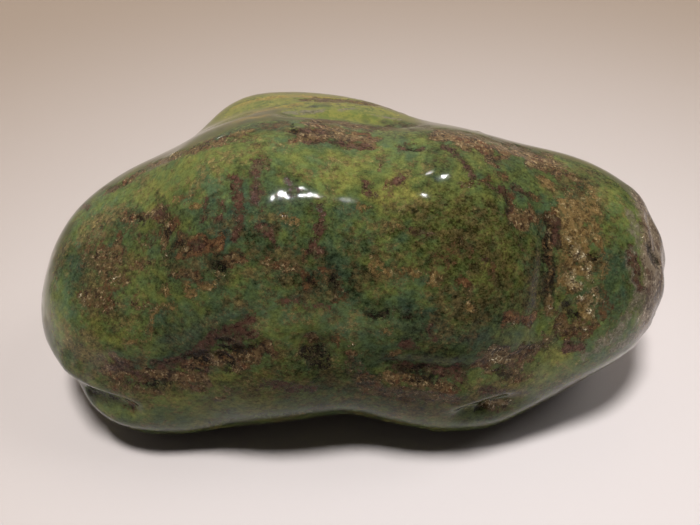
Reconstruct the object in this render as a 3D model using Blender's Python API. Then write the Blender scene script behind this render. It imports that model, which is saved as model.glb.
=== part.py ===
"""A raw jade boulder: one water-worn stone, lying on the face that was worn flat.

The stone is drawn as overlapping lobes that melt into each other, planed off by a few worn faces.
Creases, hollows, ledges and ridges then follow strokes along its skin. Lengths are in millimetres
from the middle of the stone, with X along it to the right, Y away from its front and Z up. The
finished stone is scaled to LENGTH and lies on Z = 0, with its middle over the origin.
"""

import bmesh
import bpy
import numpy as np
from mathutils import Vector, noise

MM = 0.001

# Driving dimensions
LENGTH = 125.0  # the stone from end to end
CELLS = 28  # grid cells along each side of the cube that the skin is drawn from
REST_HEIGHT = -26.8  # the level of the worn face that the stone lies on
REST_FADE = 5.0  # relief dies out over this height above the worn face

# Main form. Each lobe has its centre, its radii, its turn about Z and its tilt about Y in degrees.
MELT = 4.0  # how widely neighbouring lobes run into each other
LOBES = {
    "body_left": ((-14, -4, 1), (27, 28, 31), 0, 0),
    "body_right": ((15, -4, -1), (27, 27, 30), 0, 4),
    "left_end": ((-38, -4.5, -6), (22.3, 24, 21), 0, 0),
    "right_nose": ((41, 2.5, -0.5), (21.5, 20, 19), 0, 0),
    "right_cheek": ((42, -4, -7), (14, 15, 12), 0, 0),
    "back_hump": ((-8, 22, 10), (23, 15, 15), -12, 0),
    "back_belly": ((-2, 14, -5), (32, 17, 18), 0, 0),
    "left_shoulder": ((-30, 6, 2), (20, 14, 14), 10, 0),
    "right_shoulder": ((23, 10, 4), (22, 14, 14), -18, 8),
    "left_foot": ((-35, -13, -17), (17, 12, 10), 0, 0),
    "right_foot": ((29, -12.5, -16.5), (16, 12, 10), 0, 0),
}
# The low waist between the two feet, hollowed out of the lobes
WAIST = ((-4, -24, -31), (22, 18, 10))
WAIST_DEPTH = 3.2
# Worn faces, each with the way that it faces, its distance from the middle and how round its edge is
WORN_FACES = {
    "underside": ((0, 0, -1), 27.2, 1.2),
    "top": ((0.06, 0.36, 1), 30.4, 0.8),
    "front_right": ((0.5, -0.6, -0.65), 43.0, 1.6),
    "lower_left": ((-0.7, -0.44, -0.57), 53.9, 1.2),
}

# Relief. Each stroke has points near the skin, its half width, and its depth. A negative depth
# stands proud.
STROKES = {
    "lower_left_crease": (((-54, -18, -11), (-47, -26, -11), (-42, -30, -12)), 2.8, 1.9),
    "crease_brow": (((-50, -24, -5), (-45, -28, -6), (-40, -30, -8)), 3.0, -0.7),
    "foot_bulge": (((-48, -25, -16), (-39, -29, -15)), 4.5, -0.6),
    "long_band": (((-43, -29, -5), (-34, -30, -3), (-26, -31, 1), (-15, -32, 6)), 3.4, 0.8),
    "band_wing": (((-22, -31, 6), (-16, -31, 11)), 2.6, 0.6),
    "brown_hollow": (((8, -31, 1), (13, -31, 1), (19, -31, 0)), 2.6, 1.3),
    "hollow_ledge": (((7, -31, -3), (13, -31, -3), (20, -31, -5)), 2.4, -0.6),
    "right_dent": (((23, -30, -12), (28, -28, -11)), 2.8, 1.6),
    "dent_brow": (((21, -30, -9), (25, -30, -7), (30, -27, -7)), 2.4, -0.6),
    "side_seam": (((35, -11, 20), (36, -16, 16), (35, -21, 11), (35, -24, 5)), 2.2, 0.9),
    "gold_shoulder": (((42, -8, 19), (43, -13, 15)), 4.5, -0.6),
    "crystal_pit": (((39, -19, 10), (43, -15, 12)), 2.4, 1.0),
    "low_crystal_pit": (((41, -21, 5), (44, -19, 6)), 2.4, 1.0),
    "speckled_step": (((25, -30, 0), (29, -28, 0), (35, -25, -1)), 3.0, 0.7),
    "dark_pit": (((-7, -31, 6), (-5, -31, 5)), 2.6, 1.4),
    "crest_left": (((-42, 2, 18), (-33, -1, 24), (-25, -4, 29)), 3.6, -0.5),
    "crest_groove": (((-11, 9, 29), (-1, 13, 27), (10, 10, 26)), 2.8, 0.9),
    "crest_right": (((13, 1, 29), (28, 0, 26), (40, 2, 21)), 3.6, -0.5),
    "hooked_scar": (((26, -11, 25), (30, -12, 23), (29, -16, 21), (33, -14, 20)), 2.0, 0.5),
    "left_scar": (((-40, -21, 11), (-38, -18, 14), (-32, -18, 20)), 3.4, 0.6),
    "left_end_dimple": (((-58, 2, -4), (-56, 10, -8)), 4.0, 1.1),
    "nose_pit": (((60, -6, 8), (60, -1, 11)), 2.4, 0.9),
    "nose_ledge": (((58, 4, -2), (60, 9, 4)), 3.0, -0.4),
    "nose_crease": (((58, -6, -6), (58, 4, -10), (53, 12, -12)), 2.8, 0.9),
    "back_crease": (((-34, 24, 2), (-18, 33, -6), (2, 33, -8), (20, 26, -4)), 3.4, 1.7),
    "back_brow": (((-30, 24, 8), (-12, 36, 2), (8, 32, 0)), 3.6, -0.7),
    "back_pit": (((22, 24, 6), (28, 22, 4)), 3.0, 1.4),
    "back_band": (((-50, 12, 4), (-38, 20, 8), (-28, 24, 14)), 3.2, 0.9),
    "back_foot_dent": (((-8, 24, -24), (6, 24, -24)), 4.5, 1.5),
    "rear_right_band": (((34, 19, 8), (44, 17, 2), (52, 13, -4)), 3.0, 0.8),
}

# Unevenness, as the size of its bumps and their height
SWELLS = (24.0, 0.45)
RIPPLES = (9.5, 0.22)
# The right-hand end keeps its rough rind, which starts at RIND_START and is full at RIND_FULL.
RIND = (5.5, 0.6)
RIND_START = 49.0
RIND_FULL = 58.0

# Finish: Principled colour, roughness and metallic value
JADE_GREEN = (0.055, 0.105, 0.030, 1.0)
JADE_ROUGHNESS = 0.18
JADE_METALLIC = 0.0

# How the skin is drawn
SPREAD = (1.6, 1.0, 0.85)  # spreads the grid's rays along the stone, so that cells stay even
NEAREST, FARTHEST = 5.0, 110.0  # every ray leaves the stone between these
HALVINGS = 26
EIGHTH_TURN = np.pi / 4


def smooth_step(values, start, full):
    """0 below start, 1 above full, and an even curve between them."""
    share = np.clip((values - start) / (full - start), 0, 1)
    return share * share * (3 - 2 * share)


def in_lobe_frame(points, centre, turn, tilt):
    """The points as the lobe sees them: from its centre, along its own axes."""
    x, y, z = (points - np.array(centre, float)).T
    cos, sin = np.cos(np.radians(turn)), np.sin(np.radians(turn))
    x, y = x * cos + y * sin, y * cos - x * sin
    cos, sin = np.cos(np.radians(tilt)), np.sin(np.radians(tilt))
    return np.stack([x * cos + z * sin, y, z * cos - x * sin], axis=1)


def height_over_lobes(points):
    """About how far the points lie outside the melted lobes. It is negative inside them."""
    nearness = np.zeros(len(points))
    for centre, radii, turn, tilt in LOBES.values():
        reach = np.linalg.norm(in_lobe_frame(points, centre, turn, tilt) / radii, axis=1)
        nearness += np.exp((1 - reach) * min(radii) / MELT)
    centre, radii = WAIST
    hollow = np.exp(-(((points - np.array(centre)) / radii) ** 2).sum(axis=1))
    return WAIST_DEPTH * hollow - MELT * np.log(nearness)


def height_over_stone(points):
    """The same for the lobes after the worn faces have planed them."""
    height = height_over_lobes(points)
    for facing, distance, roundness in WORN_FACES.values():
        facing = np.array(facing) / np.linalg.norm(facing)
        over_face = points @ facing - distance
        height = roundness * np.logaddexp(height / roundness, over_face / roundness)
    return height


def on_skin(points):
    """The points moved along their rays from the middle until they lie on the main form."""
    rays = points / np.linalg.norm(points, axis=1)[:, None]
    inner = np.full(len(rays), NEAREST)
    outer = np.full(len(rays), FARTHEST)
    for _ in range(HALVINGS):
        middle = (inner + outer) / 2
        outside = height_over_stone(rays * middle[:, None]) > 0
        inner, outer = np.where(outside, inner, middle), np.where(outside, middle, outer)
    return rays * inner[:, None]


def distance_to_stroke(points, stroke):
    """How far each point lies from the line through the stroke's points."""
    nearest = np.full(len(points), np.inf)
    for start, end in zip(stroke[:-1], stroke[1:]):
        along = end - start
        share = np.clip((points - start) @ along / (along @ along), 0, 1)
        gap = np.linalg.norm(points - start - share[:, None] * along, axis=1)
        nearest = np.minimum(nearest, gap)
    return nearest


def bumps(points, size, height):
    """Soft random bumps of a size and height, the same on each run."""
    return height * np.array([noise.noise(Vector(point / size)) for point in points])


def relief(skin):
    """How far each point of the skin rises: strokes, swells, ripples and the rough rind."""
    rise = bumps(skin, *SWELLS) + bumps(skin, *RIPPLES)
    rise += bumps(skin, *RIND) * smooth_step(skin[:, 0], RIND_START, RIND_FULL)
    for stroke, half_width, depth in STROKES.values():
        gap = distance_to_stroke(skin, on_skin(np.array(stroke, float)))
        rise -= depth * np.exp(-((gap / half_width) ** 2))
    return rise * smooth_step(skin[:, 2], REST_HEIGHT, REST_HEIGHT + REST_FADE)


def cube_grid(cells):
    """A cube of side 2 about the origin, with a grid of cells on each side."""
    grid = bmesh.new()
    bmesh.ops.create_cube(grid, size=2)
    bmesh.ops.subdivide_edges(grid, edges=grid.edges[:], cuts=cells - 1, use_grid_fill=True)
    return grid


def stone_points(cube_points):
    """The points of the cube's grid moved onto the stone, in millimetres. The tangent keeps cells even."""
    even = np.tan(cube_points * EIGHTH_TURN)
    rays = even / np.linalg.norm(even, axis=1)[:, None] * SPREAD
    skin = on_skin(rays)
    outward = skin / np.linalg.norm(skin, axis=1)[:, None]
    stone = skin + outward * relief(skin)[:, None]
    stone[:, 2] = np.maximum(stone[:, 2], REST_HEIGHT)
    return stone


def set_down(stone):
    """The stone scaled to LENGTH, centred over the origin and laid on Z = 0."""
    low, high = stone.min(axis=0), stone.max(axis=0)
    foot = np.array([(low[0] + high[0]) / 2, (low[1] + high[1]) / 2, REST_HEIGHT])
    return (stone - foot) * LENGTH / (high[0] - low[0])


def jade():
    material = bpy.data.materials.new("jade")
    material.use_nodes = True
    shader = material.node_tree.nodes["Principled BSDF"]
    shader.inputs["Base Color"].default_value = JADE_GREEN
    shader.inputs["Roughness"].default_value = JADE_ROUGHNESS
    shader.inputs["Metallic"].default_value = JADE_METALLIC
    return material


def make_boulder():
    grid = cube_grid(CELLS)
    places = set_down(stone_points(np.array([vertex.co for vertex in grid.verts])))
    for vertex, place in zip(grid.verts, places):
        vertex.co = place * MM
    bmesh.ops.triangulate(grid, faces=grid.faces[:], quad_method="SHORT_EDGE")
    bmesh.ops.recalc_face_normals(grid, faces=grid.faces[:])
    mesh = bpy.data.meshes.new("boulder")
    grid.to_mesh(mesh)
    grid.free()
    mesh.shade_smooth()
    mesh.materials.append(jade())
    boulder = bpy.data.objects.new("boulder", mesh)
    bpy.context.scene.collection.objects.link(boulder)
    return boulder


for old in list(bpy.data.objects):
    bpy.data.objects.remove(old)
make_boulder()
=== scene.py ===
"""A raw jade boulder on a plain pale floor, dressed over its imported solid.

The stone's skin is drawn from the same lobes, worn faces and strokes as the solid, on a finer grid,
with the finer relief of its matrix, scars and pits. Its colours come from marks laid along the skin:
those on the near side start from points in the photograph, and those on the far side from points
on the stone. Lengths are in millimetres unless a name says otherwise.
"""

import bmesh
import bpy
import numpy as np
from mathutils import Matrix, Vector, noise
from mathutils.bvhtree import BVHTree


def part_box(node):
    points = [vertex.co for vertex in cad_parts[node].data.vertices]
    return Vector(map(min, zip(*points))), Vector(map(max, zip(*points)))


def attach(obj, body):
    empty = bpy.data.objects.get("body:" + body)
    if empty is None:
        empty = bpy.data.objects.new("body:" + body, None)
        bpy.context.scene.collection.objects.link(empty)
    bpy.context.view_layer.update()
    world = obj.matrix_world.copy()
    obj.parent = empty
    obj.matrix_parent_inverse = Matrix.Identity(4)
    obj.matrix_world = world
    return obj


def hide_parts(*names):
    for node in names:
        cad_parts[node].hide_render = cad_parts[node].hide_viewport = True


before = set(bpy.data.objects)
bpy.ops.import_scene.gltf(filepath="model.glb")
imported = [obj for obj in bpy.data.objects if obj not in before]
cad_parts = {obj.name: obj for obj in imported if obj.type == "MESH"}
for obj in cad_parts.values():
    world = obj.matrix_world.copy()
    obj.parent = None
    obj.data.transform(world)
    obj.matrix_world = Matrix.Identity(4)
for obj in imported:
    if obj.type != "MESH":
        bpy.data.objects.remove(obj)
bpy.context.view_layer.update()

MM = 0.001

# The photograph and the camera that took it
PHOTO_SIZE = (700, 525)
LENS = 50.0
SENSOR = 36.0
CAMERA_DISTANCE = 196.5
CAMERA_ELEVATION = 38.0
CAMERA_ROLL = 0.5
LOOK_AT = (-1.4, -2.4, 26.47)
CAMERA_SEES = (0.01, 20.0)  # nearest and farthest, in metres

# The stone's form, as in its solid. Each lobe has its centre, radii, turn about Z and tilt about Y.
CELLS = 128
REST_HEIGHT = -26.8
REST_FADE = 5.0
MELT = 4.0
LOBES = {
    "body_left": ((-14, -4, 1), (27, 28, 31), 0, 0),
    "body_right": ((15, -4, -1), (27, 27, 30), 0, 4),
    "left_end": ((-38, -4.5, -6), (22.3, 24, 21), 0, 0),
    "right_nose": ((41, 2.5, -0.5), (21.5, 20, 19), 0, 0),
    "right_cheek": ((42, -4, -7), (14, 15, 12), 0, 0),
    "back_hump": ((-8, 22, 10), (23, 15, 15), -12, 0),
    "back_belly": ((-2, 14, -5), (32, 17, 18), 0, 0),
    "left_shoulder": ((-30, 6, 2), (20, 14, 14), 10, 0),
    "right_shoulder": ((23, 10, 4), (22, 14, 14), -18, 8),
    "left_foot": ((-35, -13, -17), (17, 12, 10), 0, 0),
    "right_foot": ((29, -12.5, -16.5), (16, 12, 10), 0, 0),
}
WAIST = ((-4, -24, -31), (22, 18, 10))
WAIST_DEPTH = 3.2
WORN_FACES = {
    "underside": ((0, 0, -1), 27.2, 1.2),
    "top": ((0.06, 0.36, 1), 30.4, 0.8),
    "front_right": ((0.5, -0.6, -0.65), 43.0, 1.6),
    "lower_left": ((-0.7, -0.44, -0.57), 53.9, 1.2),
}
# Each stroke has points near the skin, its half width, and its depth. A negative depth stands proud.
STROKES = {
    "lower_left_crease": (((-54, -18, -11), (-47, -26, -11), (-42, -30, -12)), 2.8, 1.9),
    "crease_brow": (((-50, -24, -5), (-45, -28, -6), (-40, -30, -8)), 3.0, -0.7),
    "foot_bulge": (((-48, -25, -16), (-39, -29, -15)), 4.5, -0.6),
    "long_band": (((-43, -29, -5), (-34, -30, -3), (-26, -31, 1), (-15, -32, 6)), 3.4, 0.8),
    "band_wing": (((-22, -31, 6), (-16, -31, 11)), 2.6, 0.6),
    "brown_hollow": (((8, -31, 1), (13, -31, 1), (19, -31, 0)), 2.6, 1.3),
    "hollow_ledge": (((7, -31, -3), (13, -31, -3), (20, -31, -5)), 2.4, -0.6),
    "right_dent": (((23, -30, -12), (28, -28, -11)), 2.8, 1.6),
    "dent_brow": (((21, -30, -9), (25, -30, -7), (30, -27, -7)), 2.4, -0.6),
    "side_seam": (((35, -11, 20), (36, -16, 16), (35, -21, 11), (35, -24, 5)), 2.2, 0.9),
    "gold_shoulder": (((42, -8, 19), (43, -13, 15)), 4.5, -0.6),
    "crystal_pit": (((39, -19, 10), (43, -15, 12)), 2.4, 1.0),
    "low_crystal_pit": (((41, -21, 5), (44, -19, 6)), 2.4, 1.0),
    "speckled_step": (((25, -30, 0), (29, -28, 0), (35, -25, -1)), 3.0, 0.7),
    "dark_pit": (((-7, -31, 6), (-5, -31, 5)), 2.6, 1.4),
    "crest_left": (((-42, 2, 18), (-33, -1, 24), (-25, -4, 29)), 3.6, -0.5),
    "crest_groove": (((-11, 9, 29), (-1, 13, 27), (10, 10, 26)), 2.8, 0.9),
    "crest_right": (((13, 1, 29), (28, 0, 26), (40, 2, 21)), 3.6, -0.5),
    "hooked_scar": (((26, -11, 25), (30, -12, 23), (29, -16, 21), (33, -14, 20)), 2.0, 0.5),
    "left_scar": (((-40, -21, 11), (-38, -18, 14), (-32, -18, 20)), 3.4, 0.6),
    "left_end_dimple": (((-58, 2, -4), (-56, 10, -8)), 4.0, 1.1),
    "nose_pit": (((60, -6, 8), (60, -1, 11)), 2.4, 0.9),
    "nose_ledge": (((58, 4, -2), (60, 9, 4)), 3.0, -0.4),
    "nose_crease": (((58, -6, -6), (58, 4, -10), (53, 12, -12)), 2.8, 0.9),
    "back_crease": (((-34, 24, 2), (-18, 33, -6), (2, 33, -8), (20, 26, -4)), 3.4, 1.7),
    "back_brow": (((-30, 24, 8), (-12, 36, 2), (8, 32, 0)), 3.6, -0.7),
    "back_pit": (((22, 24, 6), (28, 22, 4)), 3.0, 1.4),
    "back_band": (((-50, 12, 4), (-38, 20, 8), (-28, 24, 14)), 3.2, 0.9),
    "back_foot_dent": (((-8, 24, -24), (6, 24, -24)), 4.5, 1.5),
    "rear_right_band": (((34, 19, 8), (44, 17, 2), (52, 13, -4)), 3.0, 0.8),
}
SWELLS = (24.0, 0.45)
RIPPLES = (9.5, 0.22)
RIND = (5.5, 0.6)
RIND_START = 49.0
RIND_FULL = 58.0
SPREAD = (1.6, 1.0, 0.85)
NEAREST, FARTHEST = 5.0, 110.0
HALVINGS = 26
EIGHTH_TURN = np.pi / 4

# Marks on the near side. Each has its half width on the stone, how full it is, and the points of
# its line in the photograph, as X and Y in turn. Full by 1 and more is whole, 0 leaves ragged
# patches, and less than 0 only flecks.
TAN_MARKS = (
    # the crest, from the left
    (0.9, 0.2, 108, 190, 119, 186), (1.2, 0.4, 124, 182, 142, 172), (1.3, 0.5, 150, 165, 166, 160),
    (1.1, 0.2, 170, 157, 188, 151), (1.4, 0.4, 194, 148, 216, 141), (1.2, -0.1, 216, 141, 248, 138),
    (1.4, 0.1, 262, 127, 283, 123), (1.8, 0.8, 312, 125, 330, 121, 360, 126),
    (2.4, 0.8, 303, 134, 340, 133, 366, 140), (1.2, 0.4, 340, 144, 368, 146),
    (1.0, 0.1, 372, 128, 392, 128), (1.2, -0.1, 400, 122, 440, 131),
    (2.6, 0.9, 440, 135, 462, 140, 488, 147), (1.2, 0.7, 480, 148, 495, 164),
    (2.6, 0.9, 500, 148, 522, 154, 545, 160), (1.9, 0.7, 532, 163, 556, 171),
    (1.3, 0.4, 544, 160, 562, 166, 574, 178), (2.4, 0.2, 448, 131, 484, 139, 520, 149, 548, 158),
    # the speckled patch on the left
    (0.9, 0.3, 120, 216, 140, 217, 152, 212), (1.3, 0.5, 158, 210, 166, 222, 166, 236),
    (1.5, -0.1, 100, 226, 94, 245, 88, 262), (0.9, 0.3, 118, 236, 118, 256),
    (1.6, -0.2, 128, 225, 150, 240), (1.5, 0.2, 103, 250, 112, 262),
    (1.7, 0.15, 108, 262, 112, 280, 105, 300), (1.2, 0.3, 116, 276, 124, 284),
    (1.3, 0.3, 82, 294, 98, 296, 110, 304), (0.5, 0.1, 128, 268, 150, 264),
    (0.7, 0.0, 134, 302, 150, 306), (1.0, 0.2, 176, 275, 200, 278), (1.1, 0.4, 225, 262, 240, 260),
    (0.8, 0.2, 164, 240, 163, 248),
    # the long band and what lies under it
    (2.1, 0.5, 110, 366, 130, 372, 150, 376), (0.9, 0.1, 112, 384, 140, 388, 160, 392),
    (2.0, 0.9, 150, 374, 176, 374, 200, 380), (1.9, 1.1, 186, 366, 214, 362, 240, 356, 262, 352),
    (1.4, 0.6, 108, 366, 128, 364),
    # the brown hollow and its ledge
    (1.3, 0.6, 388, 376, 410, 380, 440, 388), (2.2, 0.2, 372, 386, 400, 392, 452, 396),
    (1.2, 0.3, 440, 384, 452, 396), (1.2, -0.2, 356, 366, 372, 388),
    # the speckled step
    (2.2, 0.9, 490, 358, 512, 358, 534, 350), (0.6, 0.7, 484, 371, 498, 370),
    (1.2, 0.2, 500, 374, 524, 374), (0.9, 0.3, 535, 346, 546, 344),
    # the seam, the hooked scar and small flecks
    (1.1, 0.8, 551, 216, 549, 250, 547, 305), (1.0, 0.6, 509, 196, 510, 214, 532, 217),
    (1.5, 0.9, 511, 214, 520, 221, 532, 217), (0.6, 0.6, 464, 186, 476, 185),
    (0.9, 0.6, 312, 338, 324, 340), (0.6, 0.3, 346, 352, 357, 354), (0.4, 0.4, 305, 250, 304, 263),
    (0.6, 0.2, 267, 258, 286, 265, 306, 272), (0.6, 0.3, 388, 182, 388, 192),
    (0.45, 0.5, 262, 158, 268, 168), (0.9, 0.1, 322, 272, 336, 280, 338, 296),
    (1.8, 0.3, 560, 326, 580, 332), (0.8, 0.8, 488, 406, 503, 410), (0.3, 0.3, 380, 156, 380, 170),
)
GOLD_MARKS = (
    (3.2, 0.6, 566, 210, 574, 232, 580, 262), (2.0, 0.4, 586, 205, 590, 238),
    (0.8, 0.7, 590, 187, 597, 204), (1.0, 0.2, 570, 197, 580, 192), (1.2, 0.8, 566, 276, 570, 288),
    (1.4, 0.7, 583, 300, 587, 314), (1.1, 0.8, 540, 178, 554, 188), (1.2, 0.0, 600, 262, 602, 284),
    (1.0, 0.4, 232, 135, 250, 131), (0.6, 0.8, 158, 307, 172, 306),
    (0.4, 0.5, 150, 326, 151, 316, 158, 309), (0.4, 0.2, 128, 344, 148, 340, 150, 330),
    (0.8, 0.4, 186, 288, 194, 294), (0.5, 0.4, 166, 288, 168, 297), (0.8, 0.3, 202, 284, 214, 286),
    (1.1, 0.6, 178, 384, 198, 384), (1.1, 1.0, 242, 355, 262, 354), (0.9, 1.0, 240, 362, 254, 360),
    (0.5, 0.4, 157, 392, 164, 393), (0.6, 0.7, 213, 400, 222, 397), (0.3, 0.4, 226, 389, 228, 394),
    (0.7, 1.0, 389, 355, 400, 352), (0.5, 0.5, 385, 332, 391, 331), (0.6, 0.4, 388, 273, 395, 278),
    (0.7, 0.3, 406, 272, 419, 274), (0.8, 0.6, 434, 283, 438, 274), (0.7, 0.1, 374, 262, 379, 276),
    (0.5, 0.5, 468, 294, 471, 308), (0.6, 0.3, 540, 309, 555, 313), (0.4, 0.2, 175, 199, 190, 195),
    (0.35, 0.6, 193, 205, 198, 206), (0.6, 0.7, 123, 217, 127, 215), (0.6, 0.3, 361, 206, 370, 206),
    (0.5, 0.3, 385, 224, 394, 227), (0.7, 0.2, 286, 216, 298, 222), (0.6, 0.2, 388, 388, 428, 389),
    (0.4, 0.2, 400, 275, 418, 272), (1.0, 0.1, 562, 250, 556, 280),
)
RUST_MARKS = (
    (1.7, 0.8, 182, 240, 200, 245, 220, 245), (0.7, 0.6, 180, 256, 190, 255),
    (1.2, 0.5, 166, 218, 175, 224), (0.8, 0.3, 120, 184, 130, 180), (1.2, 0.6, 542, 164, 560, 176),
    (0.7, 0.5, 498, 176, 508, 176), (0.6, 0.5, 479, 180, 490, 180), (0.4, 0.6, 470, 186, 477, 185),
    (0.6, 0.6, 526, 194, 540, 199), (1.0, 0.6, 462, 281, 470, 290), (1.3, 0.8, 508, 317, 530, 320),
    (0.8, 0.5, 515, 355, 530, 352), (1.9, 0.4, 562, 322, 584, 336), (0.9, 0.4, 232, 178, 238, 184),
    (0.5, 0.5, 336, 337, 338, 344), (0.7, 0.5, 308, 288, 316, 282), (0.7, 0.4, 298, 270, 306, 274),
    (0.5, 0.6, 338, 294, 342, 296), (0.8, 0.2, 236, 262, 240, 256), (0.8, 0.1, 566, 186, 582, 188),
    (0.6, -0.1, 404, 404, 420, 402), (1.1, 0.1, 602, 292, 606, 312), (0.8, 0.2, 100, 300, 110, 310),
    (0.9, 0.3, 126, 403, 131, 405), (0.4, 0.5, 268, 160, 270, 165), (0.35, 0.5, 406, 145, 415, 145),
    (1.2, -0.2, 446, 262, 462, 250), (0.5, 0.1, 490, 268, 492, 278),
)
MAROON_MARKS = (
    (0.85, 0.8, 256, 162, 257, 185, 257, 206), (0.9, 0.4, 235, 176, 236, 190),
    (0.6, 0.6, 239, 192, 238, 215, 236, 240), (0.4, 0.3, 205, 196, 202, 220),
    (0.6, 0.5, 222, 202, 221, 212, 218, 220), (0.5, 0.6, 289, 181, 291, 194),
    (0.65, 0.5, 319, 206, 321, 220), (1.0, 0.4, 321, 223, 317, 236, 316, 251),
    (0.55, 0.8, 260, 226, 268, 231, 274, 240), (0.4, 0.6, 299, 190, 302, 193),
    (0.6, 0.8, 365, 185, 373, 195), (0.7, 0.5, 396, 184, 402, 178),
    (0.75, 0.7, 445, 147, 457, 155, 463, 160), (0.7, 0.6, 466, 164, 473, 178),
    (0.55, 0.7, 252, 143, 264, 145), (0.9, 0.4, 304, 130, 334, 133),
    (0.45, 0.6, 304, 141, 322, 142), (0.8, 0.4, 334, 143, 366, 146), (0.8, 0.6, 368, 131, 390, 127),
    (0.5, 0.5, 406, 127, 411, 130), (0.8, 0.3, 490, 186, 505, 190, 508, 210),
    (0.7, 0.5, 512, 185, 528, 195), (0.6, 0.5, 398, 149, 424, 148), (0.8, 0.8, 554, 223, 557, 243),
    (0.6, 0.8, 428, 329, 433, 338), (0.7, 0.6, 402, 343, 415, 346),
    (0.9, 0.5, 395, 368, 425, 368, 460, 367), (0.9, 0.4, 434, 373, 461, 376),
    (0.85, 1.0, 152, 366, 170, 361, 186, 357, 200, 351, 212, 343),
    (1.0, 1.2, 214, 338, 226, 333, 240, 327, 252, 320), (1.0, 1.0, 228, 340, 242, 334, 254, 334),
    (0.5, 0.7, 222, 347, 240, 345, 258, 347), (0.8, 0.6, 158, 367, 176, 368),
    (0.6, 0.5, 200, 374, 216, 371), (0.9, 0.3, 126, 368, 142, 376), (0.7, 0.3, 126, 382, 140, 384),
    (0.6, 0.6, 188, 242, 200, 247), (1.1, 0.7, 568, 346, 584, 347), (0.5, 0.6, 555, 330, 560, 336),
    (1.1, 0.6, 634, 262, 640, 284), (0.4, 0.2, 284, 300, 302, 301), (0.4, 0.2, 306, 309, 332, 308),
    (0.7, 0.3, 482, 391, 503, 391), (0.8, 0.3, 262, 387, 280, 384), (1.1, 0.3, 292, 388, 312, 389),
    (0.4, 0.6, 480, 257, 483, 262), (0.4, 0.6, 520, 244, 522, 249),
    (0.4, 0.3, 410, 228, 416, 232, 430, 236), (0.9, 0.1, 112, 364, 130, 366),
    (0.6, 0.2, 84, 205, 88, 207), (0.7, 0.6, 642, 226, 648, 232), (0.8, 0.0, 628, 246, 634, 262),
    (0.5, 0.7, 158, 212, 162, 214), (0.5, 0.1, 104, 188, 116, 187),
)
BLACK_MARKS = (
    (1.0, 0.25, 306, 352, 312, 362, 324, 364), (0.9, 0.15, 308, 350, 322, 354),
    (0.4, 0.8, 547, 217, 548, 250), (0.6, 0.3, 544, 250, 545, 304), (0.4, 0.4, 553, 258, 553, 296),
    (0.6, 0.1, 186, 358, 204, 356), (0.7, 0.2, 202, 362, 210, 365), (0.7, 0.2, 193, 366, 199, 371),
    (0.6, 0.1, 152, 384, 170, 384), (0.7, 0.1, 218, 356, 232, 362, 226, 370),
    (0.5, 0.8, 219, 341, 229, 340), (0.55, 0.15, 222, 350, 240, 351, 256, 347),
    (0.6, 0.2, 398, 370, 424, 370), (0.5, 0.1, 413, 379, 434, 381), (0.8, 0.2, 566, 306, 572, 316),
    (0.7, -0.3, 524, 346, 546, 348), (0.5, 0.0, 497, 372, 508, 377), (0.6, 0.3, 478, 409, 486, 404),
    (0.7, 0.3, 210, 265, 220, 268), (0.7, 0.0, 176, 243, 186, 248), (0.7, 0.4, 294, 125, 297, 132),
    (0.4, -0.1, 408, 148, 416, 149), (0.45, 0.4, 370, 316, 386, 316),
    (0.5, 0.3, 396, 313, 408, 315), (0.5, 0.0, 138, 218, 143, 222), (0.5, 0.0, 163, 226, 168, 236),
    (0.6, 0.0, 594, 256, 597, 266), (1.1, 0.3, 648, 246, 656, 262),
    (0.6, 0.3, 90, 392, 104, 393, 114, 398), (0.5, 0.4, 310, 280, 314, 286),
    (0.5, 0.2, 333, 276, 335, 290), (0.4, 0.2, 508, 200, 507, 212), (0.3, 0.8, 239, 356, 242, 358),
    (0.5, 0.0, 560, 245, 572, 248),
)
CREAM_MARKS = (
    (1.0, 0.9, 577, 254, 583, 266), (0.9, 0.9, 585, 262, 590, 278), (1.0, 0.9, 571, 275, 576, 286),
    (0.7, 0.7, 577, 298, 582, 297), (0.8, 0.8, 594, 290, 597, 300), (0.7, 0.7, 590, 304, 592, 314),
    (0.5, 0.6, 569, 234, 571, 237), (0.35, 0.3, 577, 243, 580, 244), (0.9, 0.2, 492, 352, 506, 354),
    (0.7, 0.4, 492, 360, 504, 363), (0.4, 0.5, 484, 370, 492, 370), (1.1, 1.0, 490, 403, 503, 404),
    (0.35, 0.9, 466, 185, 467, 186), (0.3, 0.8, 313, 337, 314, 338),
    (0.35, 0.5, 319, 338, 323, 339), (0.3, 0.7, 394, 314, 395, 317),
    (0.25, 0.8, 509, 325, 513, 325), (0.35, 0.6, 551, 217, 553, 219),
    (0.5, 0.5, 114, 275, 119, 273), (0.4, 0.6, 114, 281, 116, 282), (0.35, 0.5, 81, 296, 84, 302),
    (0.25, 0.5, 146, 210, 153, 212), (0.3, 0.6, 108, 252, 109, 254),
    (0.35, 0.5, 213, 357, 217, 353), (0.12, 0.4, 163, 259, 171, 251),
    (0.35, 0.3, 316, 124, 328, 121), (0.4, 0.2, 344, 131, 358, 128), (0.3, 0.6, 529, 163, 534, 164),
    (0.3, 0.6, 335, 299, 338, 298), (0.3, 0.7, 582, 328, 584, 329), (0.6, 0.4, 171, 156, 176, 153),
    (0.4, 0.0, 536, 342, 544, 346), (0.25, 0.7, 218, 275, 219, 277),
    (0.15, 0.5, 351, 340, 351, 347), (0.25, 0.5, 545, 308, 549, 308),
    (0.25, 0.5, 548, 228, 548, 230), (0.25, 0.4, 182, 246, 184, 247),
    (0.6, 0.1, 644, 232, 647, 240),
)
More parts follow.
